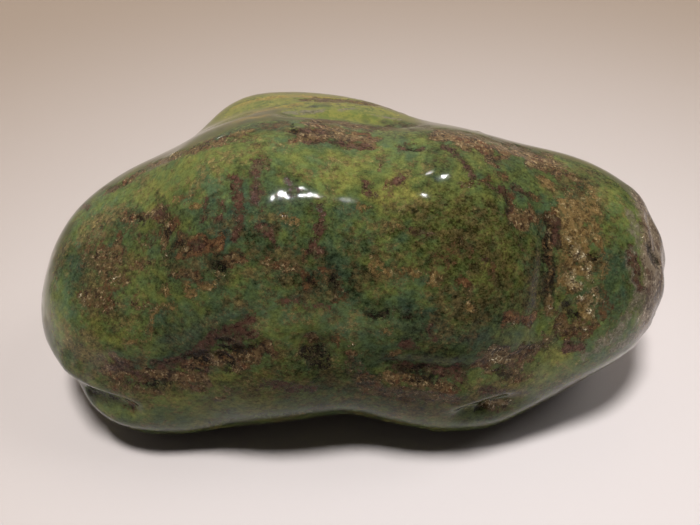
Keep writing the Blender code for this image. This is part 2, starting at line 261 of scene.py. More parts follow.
# Wide soft zones of the jade itself; some pale zones on the rims also hold painted reflection
OLIVE_ZONES = (
    (6.0, 1.0, 60, 230, 90, 225), (4.0, 1.0, 140, 285, 160, 292), (3.5, 1.0, 100, 332, 140, 336),
    (4.0, 1.0, 215, 385, 262, 385), (3.5, 1.2, 296, 170, 336, 170), (3.5, 1.5, 384, 160, 398, 166),
    (5.0, 1.2, 395, 205, 450, 215), (7.0, 0.6, 445, 225, 500, 260), (4.0, 1.0, 520, 320, 558, 325),
    (4.0, 0.6, 150, 190, 200, 170), (3.5, 1.2, 215, 150, 245, 150), (3.5, 0.8, 180, 395, 260, 400),
    (4.5, 0.6, 440, 180, 470, 205), (4.5, 0.8, 560, 160, 610, 185), (3.0, 0.7, 560, 360, 520, 392),
)
TEAL_ZONES = (
    (5.0, 1.0, 205, 200, 235, 215, 215, 250), (4.0, 0.8, 66, 265, 70, 305),
    (3.5, 0.7, 180, 262, 205, 262), (4.5, 1.0, 215, 300, 255, 300), (4.5, 1.0, 200, 325, 175, 340),
    (5.0, 1.0, 335, 250, 340, 270), (5.0, 0.7, 270, 250, 280, 285), (3.5, 1.0, 538, 215, 536, 290),
    (4.0, 0.8, 610, 280, 612, 320), (5.0, 0.7, 420, 300, 440, 355), (4.5, 0.9, 480, 320, 470, 350),
    (3.0, 0.6, 270, 160, 290, 205), (5.0, 0.6, 340, 300, 350, 330), (2.5, 1.0, 520, 202, 522, 208),
    (4.5, 0.6, 330, 370, 380, 355),
)
# Paler jade. The strokes along the left rim and the lower right rim also paint the floor's reflection
# there: painted reflection
PALE_ZONES = (
    (6.0, 1.2, 90, 215, 140, 185, 220, 162), (4.5, 1.0, 250, 152, 330, 158, 396, 152),
    (4.0, 1.6, 48, 255, 52, 300, 62, 322), (4.0, 0.8, 110, 402, 190, 412),
    (2.5, 1.2, 450, 136, 500, 146, 560, 164), (2.5, 1.2, 300, 126, 370, 134),
    (3.5, 0.8, 612, 200, 640, 232), (4.0, 1.6, 580, 362, 636, 332), (4.0, 0.6, 380, 160, 400, 180),
    (3.5, 1.2, 310, 165, 335, 172), (3.0, 0.4, 270, 320, 340, 318), (2.5, 0.8, 560, 370, 600, 358),
)
DEEP_ZONES = (
    (6.0, 0.7, 430, 235, 520, 245, 500, 300), (1.6, 1.5, 536, 225, 535, 300),
    (5.0, 0.6, 300, 275, 350, 285), (4.5, 0.9, 430, 330, 480, 335), (4.0, 0.3, 180, 262, 300, 262),
    # The last zone of the next line, along the top of the brown hollow, is partly painted shade under its
    # lip
    (3.0, 0.8, 180, 345, 210, 330), (3.5, 0.8, 330, 372, 370, 372), (1.5, 1.2, 395, 365, 460, 368),
    (2.5, 1.0, 300, 360, 325, 362), (1.4, 1.0, 545, 220, 544, 300),
)
BROWN_ZONES = (
    (6.0, 1.5, 440, 235, 500, 250, 470, 300), (4.0, 1.0, 370, 270, 420, 275),
    (4.0, 0.8, 240, 262, 300, 270), (6.0, 1.0, 100, 235, 110, 290), (4.0, 1.0, 180, 262, 230, 270),
    (4.0, 0.6, 500, 230, 530, 280), (4.5, 1.5, 270, 390, 320, 390), (5.0, 1.5, 350, 395, 500, 392),
    (4.0, 0.5, 560, 170, 600, 200), (4.5, 1.0, 90, 360, 160, 395),
)
# Rims where the polish mirrors the floor more strongly
GLOSSY_ZONES = (
    (3.0, 2.0, 56, 226, 47, 270, 52, 312, 70, 340, 96, 356),
    (2.6, 0.0, 545, 384, 600, 362, 636, 334),
)
HUMP_ZONES = (
    (6.0, 1.5, 232, 112, 280, 98, 330, 99, 370, 106), (3.0, 0.8, 300, 112, 400, 116),
)
HUMP_STREAKS = (
    (1.2, 0.5, 238, 106, 262, 99, 300, 96, 332, 98), (0.7, 0.1, 250, 114, 300, 104),
    (0.8, 0.3, 340, 99, 372, 105), (0.8, 0.1, 235, 122, 262, 116),
)
# Grey streaks. The three over the lower right rim paint the floor's reflection, broken into streaks:
# painted reflection. The others are the stone's own grey streaks
GREY_STREAKS = (
    (0.7, 0.4, 286, 113, 322, 110), (0.6, 0.3, 340, 110, 358, 109), (0.6, 0.3, 375, 115, 402, 119),
    (0.6, 0.1, 150, 168, 170, 160), (1.1, 0.4, 598, 346, 622, 325, 640, 298),
    (0.8, 0.3, 584, 356, 612, 340, 632, 316), (1.1, 0.4, 630, 250, 637, 290),
    (1.0, 0.4, 630, 214, 640, 244), (0.8, 0.5, 612, 352, 634, 336),
)

# Marks on the far side and underneath: points near the skin, half width and fullness
FAR_MARKS = {
    "tan": (
        (((-34, 26, 30), (-18, 34, 21), (2, 35, 19), (20, 28, 23)), 2.0, 0.7),
        (((-50, 14, 30), (-38, 22, 34), (-28, 26, 40)), 2.4, 0.6),
        (((34, 20, 35), (44, 18, 29), (52, 14, 23)), 2.4, 0.6),
        (((20, 26, 33), (30, 23, 31)), 2.2, 0.8),
        (((-10, 20, 52), (10, 22, 48), (26, 18, 46)), 2.0, 0.3),
        (((-20, 10, 0), (-6, 2, 0), (8, 6, 0)), 2.4, 0.3),
    ),
    "gold": (
        (((46, 18, 40), (50, 14, 44)), 3.0, 0.6), (((-56, 6, 34), (-52, 12, 28)), 2.0, 0.4),
    ),
    "rust": (
        (((-14, 34, 30), (0, 34, 30)), 2.4, 0.4), (((-44, 18, 20), (-38, 22, 16)), 2.2, 0.4),
    ),
    "black": (
        (((22, 26, 33), (27, 24, 31)), 1.2, 0.7), (((-16, 34, 21), (-2, 35, 19)), 0.7, 0.3),
    ),
    "maroon": (
        (((-22, 34, 34), (-20, 32, 44)), 0.9, 0.7), (((4, 34, 30), (6, 30, 40)), 0.9, 0.6),
        (((40, 20, 18), (34, 22, 26)), 1.0, 0.6), (((-40, 22, 22), (-36, 20, 34)), 0.9, 0.6),
    ),
    "cream": ((((22, 27, 34), (26, 25, 35)), 0.8, 0.4),),
}
# Small marks that are strewn over the far side: how many, their length, half width and fullness
STREWN = {
    "tan": (46, (2.0, 9.0), (0.5, 1.7), (-0.1, 0.7)),
    "gold": (26, (0.8, 3.5), (0.4, 1.1), (0.1, 0.8)),
    "rust": (22, (1.0, 4.0), (0.5, 1.3), (0.1, 0.8)),
    "maroon": (30, (2.0, 7.0), (0.4, 0.9), (0.3, 0.9)),
    "black": (20, (1.0, 5.0), (0.4, 0.9), (0.1, 0.7)),
    "cream": (26, (0.2, 1.5), (0.25, 0.6), (0.3, 0.8)),
    "olive": (10, (4.0, 10.0), (3.0, 5.5), (0.6, 1.2)),
    "teal": (10, (4.0, 10.0), (3.0, 5.5), (0.6, 1.2)),
    "pale": (6, (4.0, 12.0), (4.0, 6.0), (0.6, 1.2)),
    "deep": (6, (4.0, 12.0), (3.0, 5.0), (0.4, 1.0)),
    "brown": (9, (4.0, 12.0), (3.0, 5.5), (0.8, 1.6)),
}
STREW_SEED = 7
STREW_BEND = 0.6
FIELD_REACH = 4.0
# How marks wander from their lines and swell along them, as the size of the swings and their reach
WANDER = (2.6, 0.9)
WANDER_SEED = 14
BREADTH = (2.0, 1.1)

# How deep each kind of mark is worn in, and how rough its floor is
WORN_IN = {"tan": (0.10, 0.22), "gold": (0.0, 0.16), "rust": (0.05, 0.12), "maroon": (0.05, 0.04),
           "black": (0.40, 0.15), "cream": (-0.05, 0.30)}
WORN_IN_EDGE = 0.5
PIT_SIZE = 1.5

# Finishes: dark, middle, light and strange grains of each kind of stone, as linear colours
GRAINS = {
    "hump": ((0.09, 0.11, 0.022), (0.17, 0.17, 0.035), (0.26, 0.22, 0.055), (0.13, 0.15, 0.030)),
    "hump_streak": ((0.15, 0.10, 0.025), (0.30, 0.20, 0.045), (0.42, 0.31, 0.09), (0.20, 0.17, 0.04)),
    # grey also colours the painted reflection in the streaks over the lower right rim
    "grey": ((0.06, 0.05, 0.035), (0.15, 0.125, 0.09), (0.30, 0.26, 0.20), (0.10, 0.09, 0.05)),
    "rind": ((0.050, 0.032, 0.022), (0.150, 0.115, 0.078), (0.34, 0.28, 0.20), (0.090, 0.055, 0.035)),
    "rust": ((0.020, 0.010, 0.006), (0.095, 0.046, 0.020), (0.20, 0.125, 0.055), (0.052, 0.042, 0.018)),
    "gold": ((0.045, 0.026, 0.010), (0.145, 0.092, 0.034), (0.32, 0.24, 0.12), (0.070, 0.060, 0.024)),
    "tan": ((0.022, 0.013, 0.008), (0.100, 0.064, 0.028), (0.32, 0.24, 0.13), (0.080, 0.034, 0.016)),
    "maroon": ((0.018, 0.009, 0.006), (0.066, 0.032, 0.021), (0.15, 0.095, 0.060), (0.060, 0.050, 0.024)),
    "black": ((0.003, 0.003, 0.002), (0.014, 0.010, 0.006), (0.080, 0.060, 0.035), (0.032, 0.030, 0.014)),
    "cream": ((0.024, 0.015, 0.008), (0.20, 0.145, 0.070), (0.84, 0.75, 0.52), (0.13, 0.085, 0.035)),
}
GRAIN_SIZES = {"hump": 1.6, "hump_streak": 0.9, "grey": 0.6, "rind": 0.9, "rust": 0.6, "gold": 0.6,
               "tan": 0.55, "maroon": 0.5, "black": 0.6, "cream": 0.6}
MARK_LAYERS = ("rust", "gold", "tan", "maroon", "black", "cream")
# How the grains of a kind lie: noise as size in grains, detail, roughness and shift, and the
# values of it between which they show
HOLLOWS, HOLLOW_EDGES = (2.2, 4.0, 0.9), (0.52, 0.40)
TOPS, TOP_EDGES = (1.5, 3.0, 0.9, 9.0), (0.54, 0.66)
STRANGERS, STRANGER_EDGES = (3.0, 3.0, 0.8, 14.0), (0.50, 0.60)
TOP_RISE = 0.5
PIT_SPACING = 1.25
PIT_EDGES = (0.52, 0.28)
PITS_CHOSEN = (0.45, 0.6)
PIT_SHADE = 0.6
PIT_RISE = -0.6
# Patches with ragged edges: the size of the raggedness, its reach, and how soft its edge is
PATCHES = {
    "hump_streak": {"Size": 2.2, "Reach": 6.5, "Edge": 0.6},
    "grey": {"Size": 1.4, "Reach": 5.5, "Edge": 0.5},
    "rind": {"Size": 5.0, "Reach": 5.0, "Edge": 0.6},
    "mark": {"Size": 0.9, "Reach": 6.5, "Edge": 0.14},
}
PATCH_DETAIL = (5.0, 0.95)
STREAK_SHARES = {"hump_streak": 0.8, "grey": 0.85}
HUMP_EDGES = (-3.0, 1.5)
RIND_REACH = 2.0
# Jade: how its hue drifts and how its light and dark lie, each as sizes with their detail,
# roughness, shift and share
JADE_DRIFTS = ((8.0, 3.0, 0.90, 5.0, 1.35), (2.0, 1.5, 0.5, 3.0, 0.45))
JADE_SHADES = ((5.0, 4.0, 1.0, 17.0, 2.8), (0.75, 3.0, 0.95, 18.0, 3.3))
# the way that its grain runs: its turn about Y, and its stretch along that way
JADE_RUN_TURN = -24.0
JADE_GRAIN_RUN = (0.88, 1.0, 1.05)
# the colours of its hues, from bluish to yellowish green
JADE_HUES = ((-0.40, (0.030, 0.048, 0.030)), (-0.15, (0.042, 0.062, 0.026)),
             (0.05, (0.058, 0.074, 0.021)), (0.25, (0.085, 0.090, 0.022)),
             (0.50, (0.135, 0.120, 0.030)))
JADE_BROWN = ((0.032, 0.021, 0.011), (0.095, 0.062, 0.025))
JADE_GOLD = (0.17, 0.125, 0.050)
# how far a zone leans its hue, and its noises: size, detail, roughness and shift
JADE_LEAN = 0.16
JADE_SWELLS = (2.4, 3.0, 0.6, 19.0)
CLUSTERS = (7.0, 3.0, 0.7, 13.0)
FLECKS = (1.5, 4.0, 0.9, 11.0)
FLECK_TINTS = (0.9, 3.0, 0.8, 15.0)
GILT = (0.9, 3.0, 0.9, 25.0)
# how much clusters and brown zones add to flecks and gilt, where these show, and how strongly
FLECK_CLUSTERS, FLECK_ZONES, GILT_CLUSTERS = 0.55, 0.09, 0.5
FLECK_EDGES, FLECK_SHARE = (0.765, 0.92), 0.72
TINT_EDGES = (0.42, 0.56)
GILT_EDGES, GILT_SHARE = (0.86, 0.96), 0.6
# how pale and deep zones change its light, and the least that is left
JADE_PALER = 0.62
JADE_DEEPER = 0.34
JADE_LEAST = 0.22
MATRIX_PALER = 0.45
SHEEN = 0.2
RIM_COAT = 0.85
# roughness: how it drifts over the jade, its least and its swing, and what matrix adds
GLOSS_DRIFT = (5.0, 2.0, 0.5, 21.0)
JADE_ROUGHNESS = 0.06
MATRIX_ROUGHER = 0.07
JADE_BUMP = 0.015
MATRIX_BUMP = 0.06
JADE_ZONES = ("olive", "teal", "pale", "deep", "brown")
ZONE_EDGES = (-2.5, 2.0)
# painted shade where the stone turns under, by height over the floor
BASE_SHADE_TOP = (7.0, 2.5)
BASE_SHADE_FOOT = (0.05, 0.6)
BASE_SHADE_DEPTH = 0.7

# Lamps. Distances and radii are in metres, angles in degrees, and places on the stone in
# millimetres.
# The main lamp and a weak lamp on the right: the direction towards each, its strength and spread
LAMPS = (((-0.07, -0.20, 0.98), 4.1, 12.0), ((0.60, 0.05, 0.80), 0.65, 25.0))
# Small lamps that glint in the polish: the pixel of the photograph, power and radius
GLINTS = (
    ((272, 198), 1.6, 0.006), ((281, 194), 14.0, 0.009), ((287, 195), 24.0, 0.010),
    ((301, 193), 10.0, 0.007), ((309, 194), 2.5, 0.006), ((316, 196), 0.5, 0.004),
    ((444, 177), 0.9, 0.003), ((429, 173), 0.10, 0.002), ((425, 195), 0.4, 0.003),
)
GLINT_DISTANCE = 0.4
GLINT_CONE = 0.8
GLINT_SOFTNESS = 0.6
GLINT_LEVEL = 2.0  # the skin's facing is evened out over this distance, in millimetres
# Lamps low behind the stone that gleam in the polish of its back: the place that each is aimed at,
# the direction towards it, its power and its cone
SIDE_GLEAMS = (((6, 33, 21), (0.35, 0.90, 0.20), 9.0, 3.4),
               ((-24, 28, 22), (-0.35, 0.90, 0.26), 7.0, 3.4))
SIDE_GLEAM_DISTANCE = 0.5
SIDE_GLEAM_RADIUS = 0.034
SIDE_GLEAM_SOFTNESS = 0.8
# The room: its colour where the camera sees it, and its dim light
WORLD_SEEN = (0.42, 0.35, 0.29)
WORLD_LIGHT = (0.045, 0.040, 0.036)
# The glow of the room over the back and on the left: the direction towards it, its light, and how
# near to that direction it starts and is full
GLOWS = (((-0.12, 0.76, 0.64), (0.56, 0.50, 0.43), (0.45, 0.98)),
         ((-0.95, -0.05, 0.30), (0.20, 0.19, 0.17), (0.60, 0.98)))
# The floor, in metres: a painted pool of light round its middle, which reaches its far colour at the
# end of its painted shade, and a painted shadow that only the polish mirrors as dim, with its reaches
# and soft edge
FLOOR_NEAR = (0.555, 0.505, 0.495)
FLOOR_FAR = (0.265, 0.205, 0.160)
FLOOR_MIRRORED = (0.07, 0.06, 0.055)
FLOOR_POOL = (0.03, -0.045)
FLOOR_SHADE = (0.0, 0.29)
FLOOR_ROUGHNESS = 0.9
FLOOR_SHEEN = 0.1
MIRRORED_SPOT = (0.0, -0.12)
MIRRORED_REACH = (0.10, 0.105)
MIRRORED_EDGES = (1.0, 0.5)
FLOOR_HALF_SIDE = 4.0


def smooth_step(values, start, full):
    """0 below start, 1 above full, and an even curve between them."""
    share = np.clip((values - start) / (full - start), 0, 1)
    return share * share * (3 - 2 * share)


def in_lobe_frame(points, centre, turn, tilt):
    """The points as the lobe sees them: from its centre, along its own axes."""
    x, y, z = (points - np.array(centre, float)).T
    cos, sin = np.cos(np.radians(turn)), np.sin(np.radians(turn))
    x, y = x * cos + y * sin, y * cos - x * sin
    cos, sin = np.cos(np.radians(tilt)), np.sin(np.radians(tilt))
    return np.stack([x * cos + z * sin, y, z * cos - x * sin], axis=1)


def height_over_lobes(points):
    """About how far the points lie outside the melted lobes. It is negative inside them."""
    nearness = np.zeros(len(points))
    for centre, radii, turn, tilt in LOBES.values():
        reach = np.linalg.norm(in_lobe_frame(points, centre, turn, tilt) / radii, axis=1)
        nearness += np.exp((1 - reach) * min(radii) / MELT)
    centre, radii = WAIST
    hollow = np.exp(-(((points - np.array(centre)) / radii) ** 2).sum(axis=1))
    return WAIST_DEPTH * hollow - MELT * np.log(nearness)


def height_over_stone(points):
    """The same for the lobes after the worn faces have planed them."""
    height = height_over_lobes(points)
    for facing, distance, roundness in WORN_FACES.values():
        facing = np.array(facing) / np.linalg.norm(facing)
        over_face = points @ facing - distance
        height = roundness * np.logaddexp(height / roundness, over_face / roundness)
    return height


def on_skin(points):
    """The points moved along their rays from the middle until they lie on the main form."""
    rays = points / np.linalg.norm(points, axis=1)[:, None]
    inner = np.full(len(rays), NEAREST)
    outer = np.full(len(rays), FARTHEST)
    for _ in range(HALVINGS):
        middle = (inner + outer) / 2
        outside = height_over_stone(rays * middle[:, None]) > 0
        inner, outer = np.where(outside, inner, middle), np.where(outside, middle, outer)
    return rays * inner[:, None]


def distance_to_stroke(points, stroke):
    """How far each point lies from the line through the stroke's points."""
    nearest = np.full(len(points), np.inf)
    for start, end in zip(stroke[:-1], stroke[1:]):
        along = end - start
        share = np.clip((points - start) @ along / max(along @ along, 1e-9), 0, 1)
        gap = np.linalg.norm(points - start - share[:, None] * along, axis=1)
        nearest = np.minimum(nearest, gap)
    return nearest


def bumps(points, size, height):
    """Soft random bumps of a size and height, the same on each run."""
    return height * np.array([noise.noise(Vector(point / size)) for point in points])


def wandering(points, size, reach):
    """The points shifted about by soft noise, so that marks laid by them have wandering outlines."""
    noise.seed_set(WANDER_SEED)  # without it, noise vectors differ from run to run
    return points + reach * np.array([noise.noise_vector(Vector(point / size)) for point in points])


def relief(skin):
    """How far each point of the skin rises: strokes, swells, ripples and the rough rind."""
    rise = bumps(skin, *SWELLS) + bumps(skin, *RIPPLES)
    rise += bumps(skin, *RIND) * smooth_step(skin[:, 0], RIND_START, RIND_FULL)
    for stroke, half_width, depth in STROKES.values():
        gap = distance_to_stroke(skin, on_skin(np.array(stroke, float)))
        rise -= depth * np.exp(-((gap / half_width) ** 2))
    return rise * smooth_step(skin[:, 2], REST_HEIGHT, REST_HEIGHT + REST_FADE)


def cube_grid(cells):
    """A cube of side 2 about the origin, with a grid of cells on each side."""
    grid = bmesh.new()
    bmesh.ops.create_cube(grid, size=2)
    bmesh.ops.subdivide_edges(grid, edges=grid.edges[:], cuts=cells - 1, use_grid_fill=True)
    return grid


def stone_points(cube_points):
    """The points of the cube's grid moved onto the stone. The tangent keeps cells even."""
    even = np.tan(cube_points * EIGHTH_TURN)
    rays = even / np.linalg.norm(even, axis=1)[:, None] * SPREAD
    skin = on_skin(rays)
    outward = skin / np.linalg.norm(skin, axis=1)[:, None]
    stone = skin + outward * relief(skin)[:, None]
    stone[:, 2] = np.maximum(stone[:, 2], REST_HEIGHT)
    return stone


def fit_to_solid(stone):
    """The points stretched a little along each axis, until they fill the solid's box."""
    low, high = (np.array(corner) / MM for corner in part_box("boulder"))
    own_low, own_high = stone.min(axis=0), stone.max(axis=0)
    return low + (stone - own_low) * (high - low) / (own_high - own_low)


def camera_axes():
    """The camera's right, up and backward directions."""
    tilt, roll = np.radians(CAMERA_ELEVATION), np.radians(CAMERA_ROLL)
    back = np.array([0, -np.cos(tilt), np.sin(tilt)])
    right, up = np.array([1.0, 0, 0]), np.array([0, np.sin(tilt), np.cos(tilt)])
    right, up = right * np.cos(roll) + up * np.sin(roll), up * np.cos(roll) - right * np.sin(roll)
    return right, up, back


def camera_place():
    return np.array(LOOK_AT) + camera_axes()[2] * CAMERA_DISTANCE


def ray_through(pixel):
    """The direction in which the camera sees a pixel of the photograph."""
    right, up, back = camera_axes()
    pixels_wide = LENS / SENSOR * PHOTO_SIZE[0]
    across = (pixel[0] - PHOTO_SIZE[0] / 2) / pixels_wide
    upward = (PHOTO_SIZE[1] / 2 - pixel[1]) / pixels_wide
    return right * across + up * upward - back


def from_photo(skin, pixels):
    """The places on the skin that the camera sees at these pixels. Misses are left out."""
    place = Vector(camera_place())
    hits = [skin.ray_cast(place, Vector(ray_through(pixel)))[0] for pixel in pixels]
    return np.array([hit for hit in hits if hit])


def from_near(skin, points):
    """The places on the skin nearest to these points."""
    return np.array([skin.find_nearest(Vector(point))[0] for point in points])


def strewn_strokes(skin, places, facings, kind, draw):
    """Short seeded strokes of one kind, over the part of the skin that the camera can't see."""
    count, lengths, half_widths, fullnesses = STREWN[kind]
    away = ((places - camera_place()) * facings).sum(axis=1) > 0
    strokes = []
    for start in draw.choice(np.flatnonzero(away), count):
        across = np.cross(facings[start], draw.normal(size=3))
        step = across / np.linalg.norm(across) * draw.uniform(*lengths) / 2
        line = [places[start] + step * share for share in (-1, 0, 1)]
        line[1] = line[1] + draw.normal(size=3) * STREW_BEND
        strokes.append((from_near(skin, line), draw.uniform(*half_widths), draw.uniform(*fullnesses)))
    return strokes


def field_of(places, breadths, strokes):
    """How far inside the nearest of the strokes each place lies. It is negative outside them."""
    field = np.full(len(places), -FIELD_REACH)
    for line, half_width, fullness in strokes:
        if len(line) < 2:
            continue
        room = half_width + FIELD_REACH
        low, high = line.min(axis=0) - room, line.max(axis=0) + room
        near = np.flatnonzero(((places > low) & (places < high)).all(axis=1))
        inside = half_width * breadths[near] - distance_to_stroke(places[near], line)
        field[near] = np.maximum(field[near], np.minimum(inside, fullness))
    return field


def lay_marks(skin, places, facings):
    """The fields of all kinds of mark, by name."""
    near_marks = {
        "tan": TAN_MARKS, "gold": GOLD_MARKS, "rust": RUST_MARKS, "maroon": MAROON_MARKS,
        "black": BLACK_MARKS, "cream": CREAM_MARKS, "olive": OLIVE_ZONES, "teal": TEAL_ZONES,
        "pale": PALE_ZONES, "deep": DEEP_ZONES, "brown": BROWN_ZONES,
        "glossy": GLOSSY_ZONES, "hump": HUMP_ZONES, "hump_streak": HUMP_STREAKS, "grey": GREY_STREAKS,
    }
    draw = np.random.default_rng(STREW_SEED)
    wandered = wandering(places, *WANDER)
    breadths = 1 + bumps(places, *BREADTH)
    fields = {}
    for kind, marks in near_marks.items():
        strokes = [(from_photo(skin, np.reshape(line, (-1, 2))), width, fullness)
                   for width, fullness, *line in marks]
        for line, width, fullness in FAR_MARKS.get(kind, ()):
            strokes.append((from_near(skin, line), width, fullness))
        if kind in STREWN:
            strokes += strewn_strokes(skin, places, facings, kind, draw)
        fields[kind] = field_of(wandered, breadths, strokes)
    return fields


def wear_in(places, facings, fields):
    """The places sunk or raised where marks lie, with the rough floor that each kind has."""
    rough = bumps(places, PIT_SIZE, 1.0)
    rise = np.zeros(len(places))
    for kind, (depth, roughness) in WORN_IN.items():
        share = smooth_step(fields[kind], -WORN_IN_EDGE, WORN_IN_EDGE)
        rise += share * (roughness * rough - depth)
    rise *= smooth_step(places[:, 2], 0, REST_FADE)
    return places + facings * rise[:, None]


def make_stone():
    grid = cube_grid(CELLS)
    places = fit_to_solid(stone_points(np.array([vertex.co for vertex in grid.verts])))
    for vertex, place in zip(grid.verts, places):
        vertex.co = place
    grid.normal_update()
    bmesh.ops.recalc_face_normals(grid, faces=grid.faces[:])
    skin = BVHTree.FromBMesh(grid)
    facings = np.array([vertex.normal for vertex in grid.verts])
    fields = lay_marks(skin, places, facings)
    worn = fit_to_solid(wear_in(places, facings, fields))
    for vertex, place in zip(grid.verts, worn):
        vertex.co = place * MM
    mesh = bpy.data.meshes.new("jade_stone")
    grid.to_mesh(mesh)
    grid.free()
    mesh.shade_smooth()
    for kind, field in fields.items():
        mesh.attributes.new(kind, "FLOAT", "POINT").data.foreach_set("value", field.astype(np.float32))
    mesh.materials.append(jade())
    stone = bpy.data.objects.new("jade_stone", mesh)
    bpy.context.scene.collection.objects.link(stone)
    make_glints(skin, places, facings)
    return stone


def feed(tree, socket, value):
    """Links an output to the socket, or sets the socket to a plain value."""
    if isinstance(value, bpy.types.NodeSocket):
        tree.links.new(value, socket)
    elif socket.type == "RGBA":
        socket.default_value = (*value[:3], 1.0)
    else:
        socket.default_value = value


def sums(tree, operation, *values):
    node = tree.nodes.new("ShaderNodeMath")
    node.operation = operation
    for socket, value in zip(node.inputs, values):
        feed(tree, socket, value)
    return node.outputs[0]


def mixed(tree, share, first, second):
    """The first colour, with a share of the second."""
    node = tree.nodes.new("ShaderNodeMix")
    node.data_type = "RGBA"
    for index, value in ((0, share), (6, first), (7, second)):
        feed(tree, node.inputs[index], value)
    return node.outputs[2]


def stepped(tree, value, start, full):
    """0 below start, 1 above full, and an even curve between them."""
    node = tree.nodes.new("ShaderNodeMapRange")
    node.interpolation_type = "SMOOTHSTEP"
    for socket, number in zip(node.inputs, (value, start, full, 0.0, 1.0)):
        feed(tree, socket, number)
    return node.outputs[0]


def parted(tree, place):
    """The X, Y and Z of a place."""
    node = tree.nodes.new("ShaderNodeSeparateXYZ")
    feed(tree, node.inputs[0], place)
    return node.outputs


def drawn_out(tree, place, turn, stretch):
    """The place turned about Y and scaled, so that grains run along the axis with least scale."""
    node = tree.nodes.new("ShaderNodeMapping")
    feed(tree, node.inputs["Vector"], place)
    node.inputs["Rotation"].default_value = (0, np.radians(turn), 0)
    node.inputs["Scale"].default_value = stretch
    return node.outputs[0]


def mottle(tree, place, size, detail=4.0, roughness=0.6, shift=0.0):
    """Noise about 0.5, whose largest blotches are about this size."""
    node = tree.nodes.new("ShaderNodeTexNoise")
    node.noise_dimensions = "4D"
    feed(tree, node.inputs["Vector"], place)
    feed(tree, node.inputs["W"], shift)
    feed(tree, node.inputs["Scale"], sums(tree, "DIVIDE", 1.0, size))
    feed(tree, node.inputs["Detail"], detail)
    feed(tree, node.inputs["Roughness"], roughness)
    return node.outputs["Fac"]


def pitted(tree, place, size):
    """A mask of small round pits, scattered with this spacing."""
    cells = tree.nodes.new("ShaderNodeTexVoronoi")
    feed(tree, cells.inputs["Vector"], place)
    feed(tree, cells.inputs["Scale"], sums(tree, "DIVIDE", 1.0, size))
    chosen = stepped(tree, parted(tree, cells.outputs["Color"])[0], *PITS_CHOSEN)
    return sums(tree, "MULTIPLY", stepped(tree, cells.outputs["Distance"], *PIT_EDGES), chosen)


def new_group(name, takes, gives):
    """An empty node group, with the sockets that it takes and gives. Returns it and its two ends."""
    tree = bpy.data.node_groups.new(name, "ShaderNodeTree")
    for sockets, direction in ((takes, "INPUT"), (gives, "OUTPUT")):
        for label, kind in sockets.items():
            tree.interface.new_socket(name=label, in_out=direction, socket_type=f"NodeSocket{kind}")
    return tree, tree.nodes.new("NodeGroupInput").outputs, tree.nodes.new("NodeGroupOutput").inputs


def placed(tree, group, **values):
    """A group placed in a tree, with its inputs set. Underscores in names stand for spaces."""
    node = tree.nodes.new("ShaderNodeGroup")
    node.node_tree = group
    for label, value in values.items():
        feed(tree, node.inputs[label.replace("_", " ")], value)
    return node.outputs


def ragged_patch_group():
    """A mask that breaks up into grains at its edge, from how far inside a mark a place lies."""
    takes = {"Where": "Float", "Place": "Vector", "Size": "Float", "Reach": "Float", "Edge": "Float"}
    tree, taken, given = new_group("ragged patch", takes, {"Mask": "Float"})
    blotches = mottle(tree, taken["Place"], taken["Size"], *PATCH_DETAIL)
    push = sums(tree, "MULTIPLY", sums(tree, "SUBTRACT", blotches, 0.5), taken["Reach"])
    ragged = sums(tree, "ADD", taken["Where"], push)
    edge = taken["Edge"]
    feed(tree, given["Mask"], stepped(tree, ragged, sums(tree, "MULTIPLY", edge, -1.0), edge))
    return tree


def mineral_grain_group():
    """Dark, middle, light and strange grains of one kind of stone, and how high they stand."""
    takes = {"Place": "Vector", "Grain": "Float", "Dark": "Color", "Middle": "Color", "Light": "Color",
             "Strange": "Color"}
    tree, taken, given = new_group("mineral grain", takes, {"Color": "Color", "Height": "Float"})
    place, grain = taken["Place"], taken["Grain"]

    def lie(size, *rest):
        return mottle(tree, place, sums(tree, "MULTIPLY", grain, size), *rest)

    hollows, tops, others = lie(*HOLLOWS), lie(*TOPS), lie(*STRANGERS)
    pits = pitted(tree, place, sums(tree, "MULTIPLY", grain, PIT_SPACING))
    body = mixed(tree, stepped(tree, others, *STRANGER_EDGES), taken["Middle"], taken["Strange"])
    body = mixed(tree, stepped(tree, tops, *TOP_EDGES), body, taken["Light"])
    body = mixed(tree, stepped(tree, hollows, *HOLLOW_EDGES), body, taken["Dark"])
    shade = sums(tree, "MULTIPLY", pits, PIT_SHADE)
    feed(tree, given["Color"], mixed(tree, shade, body, taken["Dark"]))
    height = sums(tree, "ADD", hollows, sums(tree, "MULTIPLY", tops, TOP_RISE))
    feed(tree, given["Height"], sums(tree, "MULTIPLY_ADD", pits, PIT_RISE, height))
    return tree


def swings(tree, place, start, layers):
    """A value that sways about its start, with each layer of mottling."""
    value = start
    for size, detail, roughness, shift, share in layers:
        swing = sums(tree, "SUBTRACT", mottle(tree, place, size, detail, roughness, shift), 0.5)
        value = sums(tree, "MULTIPLY_ADD", swing, share, value)
    return value


def banded(tree, value, stops):
    """The colour of a value, from stops of value and colour."""
    ramp = tree.nodes.new("ShaderNodeValToRGB")
    low, high = stops[0][0], stops[-1][0]
    while len(ramp.color_ramp.elements) < len(stops):
        ramp.color_ramp.elements.new(0.5)
    for element, (position, colour) in zip(ramp.color_ramp.elements, stops):
        element.position = (position - low) / (high - low)
        element.color = (*colour, 1.0)
    feed(tree, ramp.inputs[0], stepped_line(tree, value, low, high))
    return ramp.outputs[0]


def dimmed(tree, colour, share):
    """The colour made brighter or darker by a factor."""
    node = tree.nodes.new("ShaderNodeVectorMath")
    node.operation = "SCALE"
    feed(tree, node.inputs[0], colour)
    feed(tree, node.inputs["Scale"], share)
    return node.outputs[0]


